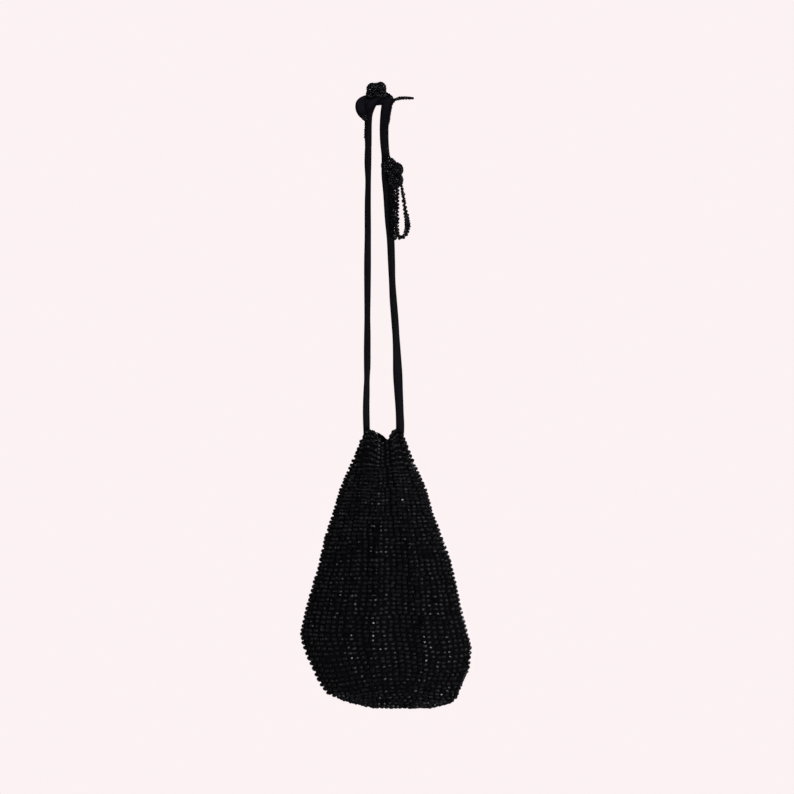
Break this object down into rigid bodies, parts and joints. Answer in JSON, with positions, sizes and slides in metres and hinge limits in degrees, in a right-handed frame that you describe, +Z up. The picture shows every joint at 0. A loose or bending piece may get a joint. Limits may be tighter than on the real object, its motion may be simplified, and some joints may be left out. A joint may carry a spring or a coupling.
{
  "type": "beaded drawstring bag",
  "caption": "Pear-shaped bead-crochet pouch with a gathered scalloped neck, on a long satin drawstring knotted over the wrist, with beaded heads and loops of beads at its ends.",
  "frame": {"origin": "top of the wrist that the drawstring lies over, midway through the wrist's depth", "axes": "+Z up, the bag hangs towards -Z; -Y is the front, where the two strands hang; +X to the right, along the wrist"},
  "size_m": [0.148, 0.0827, 0.546],
  "materials": {
    "black_glass_beads": "glossy black glass seed beads crocheted on black thread",
    "black_satin": "black satin cord with a soft sheen"
  },
  "bodies": {
    "root": {"pouch": "black_glass_beads", "knot": "black_satin", "strand_left": "black_satin", "neck_cord": "black_satin", "strand_right": "black_satin", "wrist_loop": "black_satin", "bead_head_a": "black_glass_beads", "bead_head_b": "black_glass_beads", "bead_loop_a1": "black_glass_beads", "bead_loop_a2": "black_glass_beads", "bead_loop_b1": "black_glass_beads", "bead_loop_b2": "black_glass_beads"}
  },
  "joints": []
}
